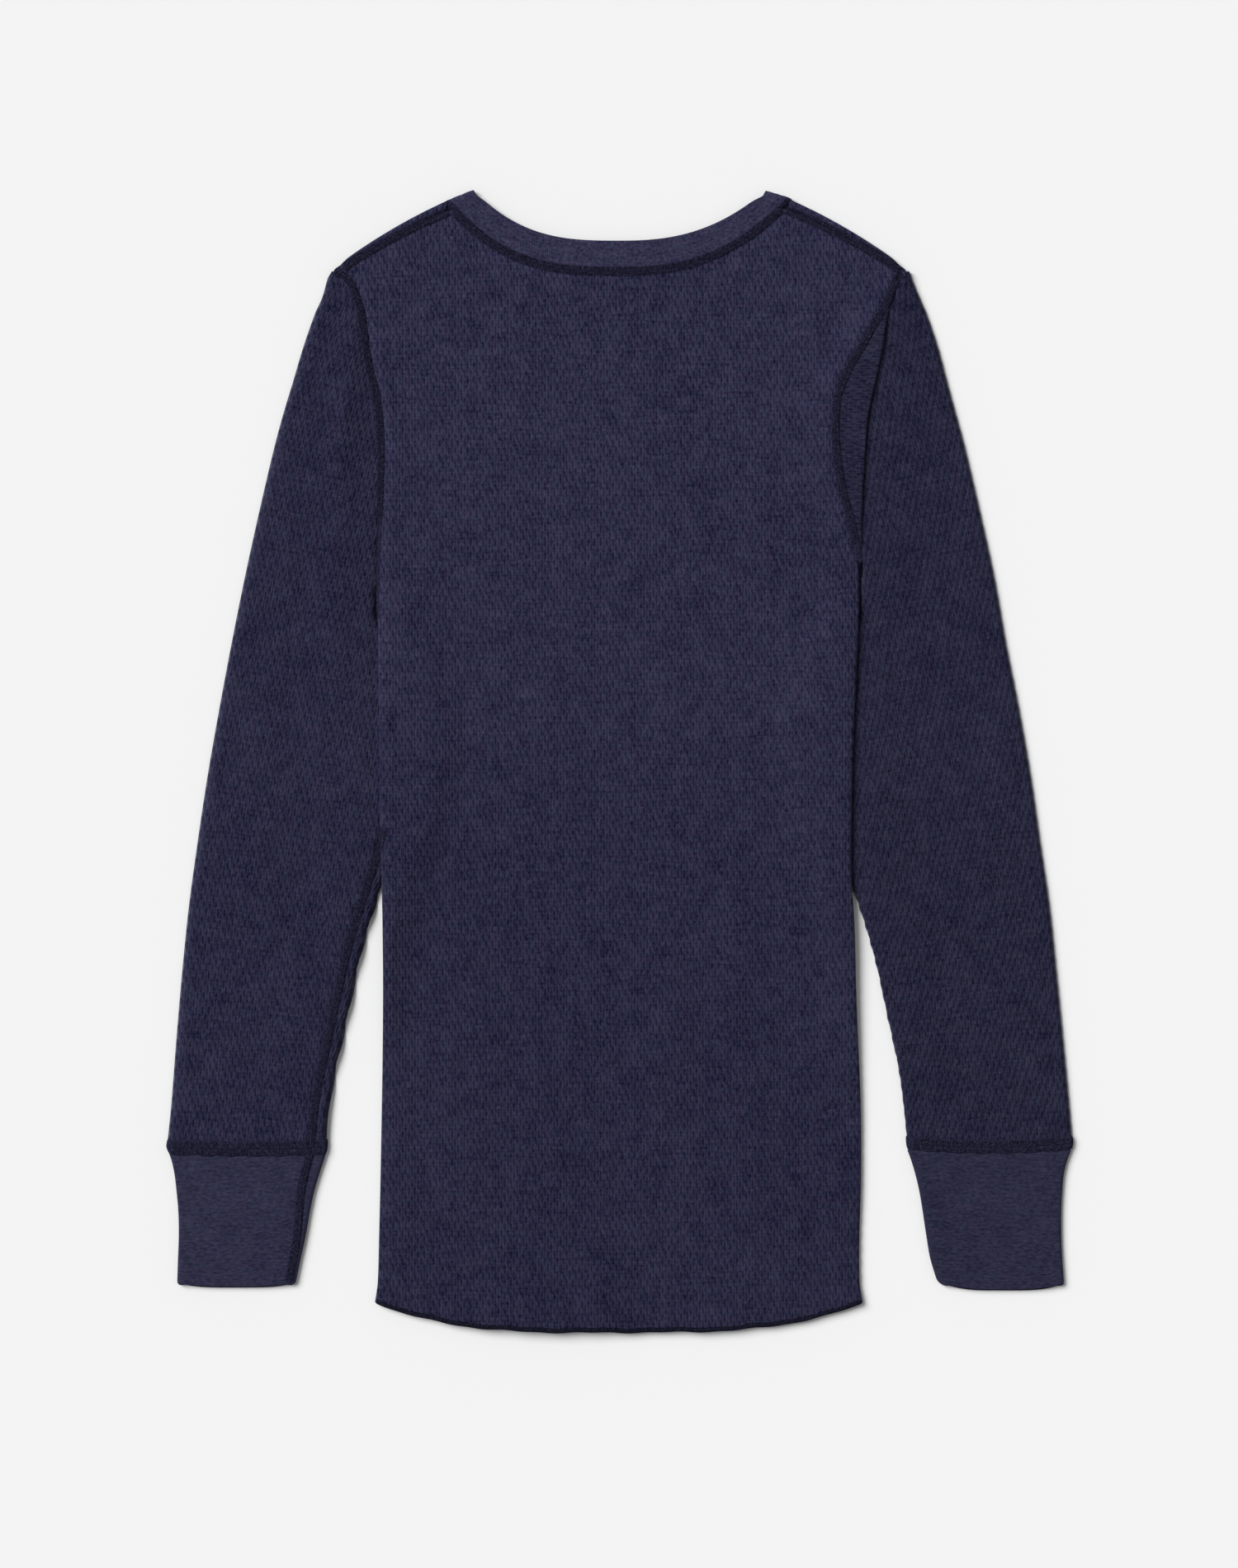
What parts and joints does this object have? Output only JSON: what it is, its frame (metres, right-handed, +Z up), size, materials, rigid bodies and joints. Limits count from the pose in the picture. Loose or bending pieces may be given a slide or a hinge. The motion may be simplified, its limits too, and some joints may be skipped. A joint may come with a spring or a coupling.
{
  "type": "thermal top",
  "caption": "Long-sleeved thermal top in navy waffle knit with a scooped ribbed neckband and long smooth cuffs, laid flat with its back up.",
  "frame": {"origin": "on the floor under the centre of the garment's bounding box", "axes": "+Y from the hem towards the neck, +Z up out of the garment's back, +X towards the sleeve on the right"},
  "size_m": [0.5276, 0.6643, 0.0077],
  "materials": {
    "waffle_knit": "matt waffle knit in heathered navy",
    "cuff_jersey": "smooth fine jersey in heathered navy",
    "neck_rib": "fine rib knit in heathered navy"
  },
  "bodies": {
    "root": {"back": "waffle_knit", "front": "waffle_knit", "sleeve_left": "waffle_knit", "sleeve_right": "waffle_knit", "cuff_left": "cuff_jersey", "cuff_right": "cuff_jersey", "neckband": "neck_rib"}
  },
  "joints": []
}
